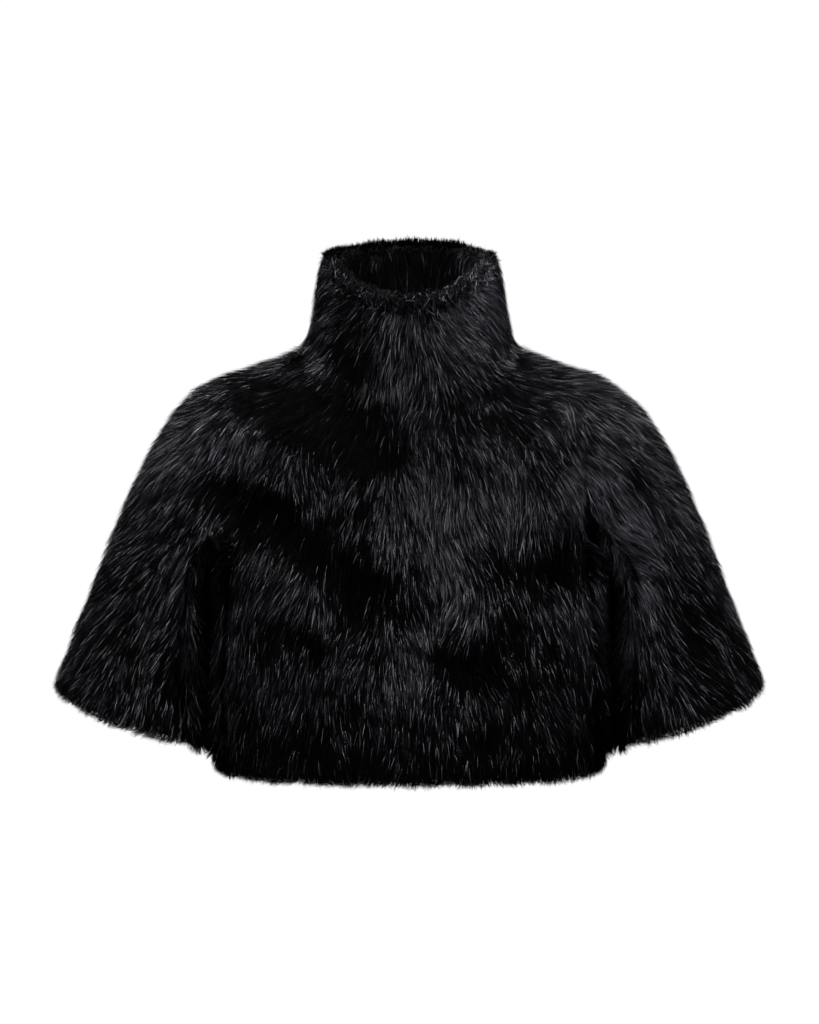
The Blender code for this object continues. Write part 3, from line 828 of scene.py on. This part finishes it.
class BOLERO_OT_comb_fur(Operator):
    """Grows and combs the fur of the fronts, back, sleeves and collar"""

    bl_idname = "bolero.comb_fur"
    bl_label = "Comb the fur"

    def execute(self, context):
        fur = context.scene.bolero_fur
        materials = (
            modacrylic_hair(
                "brushed_modacrylic_guard_hair", fur.roots, fur.guard, roughness=0.24, gloss=0.50
            ),
            modacrylic_hair(
                "crimped_modacrylic_underfur", fur.roots, fur.underfur, roughness=0.65, gloss=0.05
            ),
        )
        pieces = FRONTS_AND_BACK + SLEEVES + COLLAR
        ground = fur_ground(pieces)
        for piece in pieces:
            comb_fur(piece, fur, ground, materials)
        return {"FINISHED"}


class BOLERO_OT_comb_facing(Operator):
    """Grows and combs the shorter fur inside the collar"""

    bl_idname = "bolero.comb_facing"
    bl_label = "Comb the collar's inside"

    def execute(self, context):
        fur = context.scene.bolero_fur
        materials = (
            modacrylic_hair(
                "pressed_modacrylic_guard_hair", fur.roots, fur.guard, roughness=0.45, gloss=0.18
            ),
            modacrylic_hair(
                "pressed_modacrylic_underfur", fur.roots, fur.underfur, roughness=0.7, gloss=0.1
            ),
        )
        ground = fur_ground(COLLAR_FACING)
        for piece in COLLAR_FACING:
            comb_fur(piece, fur, ground, materials)
        return {"FINISHED"}


class BOLERO_OT_set_studio(Operator):
    """Sets up the pale sweep, the soft lights and the camera"""

    bl_idname = "bolero.set_studio"
    bl_label = "Set up the studio"

    def execute(self, context):
        studio = context.scene.bolero_studio
        self.lay_floor(studio)
        self.hang_lights(studio)
        self.light_world(context.scene, studio)
        self.place_camera(context.scene, studio)
        context.scene.view_settings.view_transform = "Standard"
        return {"FINISHED"}

    def lay_floor(self, studio):
        deselect_all()
        bpy.ops.mesh.primitive_plane_add(size=FLOOR_WIDTH, location=(0, 0, studio.floor))
        bpy.ops.object.transform_apply(location=True)
        floor = bpy.context.object
        floor.name = "studio_floor"
        # Matt white paper, which glows evenly white where the camera sees it, and is plain grey paper to the
        # fur.
        material, tree, shader = new_material("matt_white_paper")
        tree.nodes.remove(shader)
        seen = add_node(tree, "ShaderNodeLightPath")
        glow = add_node(tree, "ShaderNodeEmission", {"Color": (*studio.sweep, 1), "Strength": SWEEP_GLOW})
        dull = add_node(tree, "ShaderNodeBsdfDiffuse", {"Color": (*studio.paper, 1)})
        either = add_node(
            tree, "ShaderNodeMixShader",
            links={0: seen.outputs["Is Camera Ray"], 1: dull.outputs[0], 2: glow.outputs[0]},
        )
        tree.links.new(either.outputs[0], tree.nodes["Material Output"].inputs["Surface"])
        floor.data.materials.append(material)

    def hang_lights(self, studio):
        aim = Vector((0, 0, studio.aim))
        for lamp in LAMPS:
            deselect_all()
            bpy.ops.object.light_add(type="AREA", location=lamp.place)
            light = bpy.context.object
            light.name = lamp.name
            light.data.size = lamp.size
            light.data.energy = lamp.power
            light.data.color = studio.lamps
            light.rotation_euler = (aim - Vector(lamp.place)).to_track_quat("-Z", "Y").to_euler()

    def light_world(self, scene, studio):
        world = bpy.data.worlds.new("studio_world")
        world.use_nodes = True
        tree = world.node_tree
        tree.nodes.clear()
        seen = add_node(tree, "ShaderNodeLightPath")
        near = add_node(tree, "ShaderNodeBackground", {"Color": (*studio.sweep, 1), "Strength": SWEEP_FILL})
        far = add_node(tree, "ShaderNodeBackground", {"Color": (*studio.sweep, 1), "Strength": SWEEP_GLOW})
        either = add_node(
            tree, "ShaderNodeMixShader",
            links={0: seen.outputs["Is Camera Ray"], 1: near.outputs[0], 2: far.outputs[0]},
        )
        add_node(tree, "ShaderNodeOutputWorld", links={"Surface": either.outputs[0]})
        scene.world = world

    def place_camera(self, scene, studio):
        back = Vector((0, -math.cos(studio.height), math.sin(studio.height)))
        aim = Vector((0, 0, studio.aim))
        deselect_all()
        bpy.ops.object.camera_add(location=aim + studio.distance * back)
        camera = bpy.context.object
        camera.rotation_euler = (-back).to_track_quat("-Z", "Y").to_euler()
        camera.data.sensor_width = SENSOR
        camera.data.lens = SENSOR * studio.distance / studio.seen
        camera.data.clip_end = SEEN_TO
        scene.camera = camera


class BOLERO_PT_panel(Panel):
    """The bolero's pieces and studio"""

    bl_idname = "BOLERO_PT_panel"
    bl_label = "Faux Fur Bolero"
    bl_space_type = "VIEW_3D"
    bl_region_type = "UI"
    bl_category = "Bolero"

    def draw(self, context):
        for operator in OPERATORS:
            self.layout.operator(operator.bl_idname)
        for group in (context.scene.bolero_cloth, context.scene.bolero_fur, context.scene.bolero_studio):
            box = self.layout.box()
            for name in group.__annotations__:
                box.prop(group, name)


OPERATORS = (BOLERO_OT_sew_backing, BOLERO_OT_comb_fur, BOLERO_OT_comb_facing, BOLERO_OT_set_studio)
CLASSES = (BoleroCloth, BoleroFur, BoleroStudio, *OPERATORS, BOLERO_PT_panel)


def register():
    for kind in CLASSES:
        bpy.utils.register_class(kind)
    bpy.types.Scene.bolero_cloth = PointerProperty(type=BoleroCloth)
    bpy.types.Scene.bolero_fur = PointerProperty(type=BoleroFur)
    bpy.types.Scene.bolero_studio = PointerProperty(type=BoleroStudio)


def unregister():
    del bpy.types.Scene.bolero_studio
    del bpy.types.Scene.bolero_fur
    del bpy.types.Scene.bolero_cloth
    for kind in reversed(CLASSES):
        bpy.utils.unregister_class(kind)


def main():
    register()
    bpy.ops.bolero.sew_backing()
    bpy.ops.bolero.comb_fur()
    bpy.ops.bolero.comb_facing()
    bpy.ops.bolero.set_studio()


if __name__ == "__main__":
    main()
